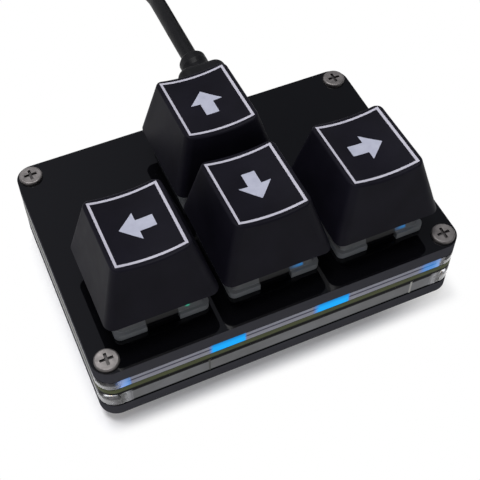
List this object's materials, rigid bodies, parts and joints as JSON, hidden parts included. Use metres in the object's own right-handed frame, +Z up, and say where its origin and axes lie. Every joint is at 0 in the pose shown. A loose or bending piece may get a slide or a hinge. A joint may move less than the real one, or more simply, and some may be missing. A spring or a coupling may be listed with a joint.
{
  "type": "programmable keypad",
  "caption": "Small desk keypad of stacked black and clear acrylic sheets round a lit circuit board, with sprung arrow keys that press straight down and a plug-in data lead.",
  "frame": {"origin": "on the table, under the middle of the case", "axes": "+X to the right for the person typing, +Y to the back where the lead leaves, +Z up"},
  "size_m": [0.0928, 0.1388, 0.0315],
  "materials": {
    "black_acrylic": "polished",
    "clear_acrylic": "clear, polished edges",
    "board_laminate": "solder mask over glass laminate",
    "nickel_steel": "nickel plated",
    "foot_rubber": "matt",
    "keycap_plastic": "fine texture",
    "stem_plastic": "satin",
    "smoked_plastic": "smoky, moulded",
    "spring_steel": "drawn wire",
    "contact_brass": "stamped",
    "led_resin": "lit blue",
    "chip_resin": "moulded",
    "plug_vinyl": "moulded, satin",
    "cable_vinyl": "extruded, satin",
    "tie_strap": "woven strap",
    "tongue_plastic": "moulded"
  },
  "bodies": {
    "case": {"bottom_plate": "black_acrylic", "lower_spacer": "clear_acrylic", "circuit_board": "board_laminate", "upper_spacer": "clear_acrylic", "top_plate": "black_acrylic", "case_screws": "nickel_steel", "case_inserts": "contact_brass", "rubber_feet": "foot_rubber", "key_leds": "led_resin", "edge_leds": "led_resin", "controller_chip": "chip_resin", "board_parts": "nickel_steel", "usb_socket": "nickel_steel", "plug_shell": "nickel_steel", "plug_body": "plug_vinyl", "cable": "cable_vinyl", "cable_coil": "cable_vinyl", "cable_tail": "cable_vinyl", "coil_tie": "tie_strap", "host_plug_body": "plug_vinyl", "host_plug_shell": "nickel_steel", "host_plug_tongue": "tongue_plastic", "up_switch_base": "smoked_plastic", "up_switch_cover": "smoked_plastic", "up_spring": "spring_steel", "up_contacts": "contact_brass", "left_switch_base": "smoked_plastic", "left_switch_cover": "smoked_plastic", "left_spring": "spring_steel", "left_contacts": "contact_brass", "down_switch_base": "smoked_plastic", "down_switch_cover": "smoked_plastic", "down_spring": "spring_steel", "down_contacts": "contact_brass", "right_switch_base": "smoked_plastic", "right_switch_cover": "smoked_plastic", "right_spring": "spring_steel", "right_contacts": "contact_brass"},
    "key_up": {"up_keycap": "keycap_plastic", "up_stem": "stem_plastic"},
    "key_left": {"left_keycap": "keycap_plastic", "left_stem": "stem_plastic"},
    "key_down": {"down_keycap": "keycap_plastic", "down_stem": "stem_plastic"},
    "key_right": {"right_keycap": "keycap_plastic", "right_stem": "stem_plastic"}
  },
  "joints": [
    {"name": "up_press", "type": "slide", "parent": "case", "child": "key_up", "axis": [0, 0, -1], "range_m": [0, 0.004], "stiffness_N_per_m": 75, "springref_m": -0.004, "deforming": ["up_spring"]},
    {"name": "left_press", "type": "slide", "parent": "case", "child": "key_left", "axis": [0, 0, -1], "range_m": [0, 0.004], "stiffness_N_per_m": 75, "springref_m": -0.004, "deforming": ["left_spring"]},
    {"name": "down_press", "type": "slide", "parent": "case", "child": "key_down", "axis": [0, 0, -1], "range_m": [0, 0.004], "stiffness_N_per_m": 75, "springref_m": -0.004, "deforming": ["down_spring"]},
    {"name": "right_press", "type": "slide", "parent": "case", "child": "key_right", "axis": [0, 0, -1], "range_m": [0, 0.004], "stiffness_N_per_m": 75, "springref_m": -0.004, "deforming": ["right_spring"]}
  ]
}
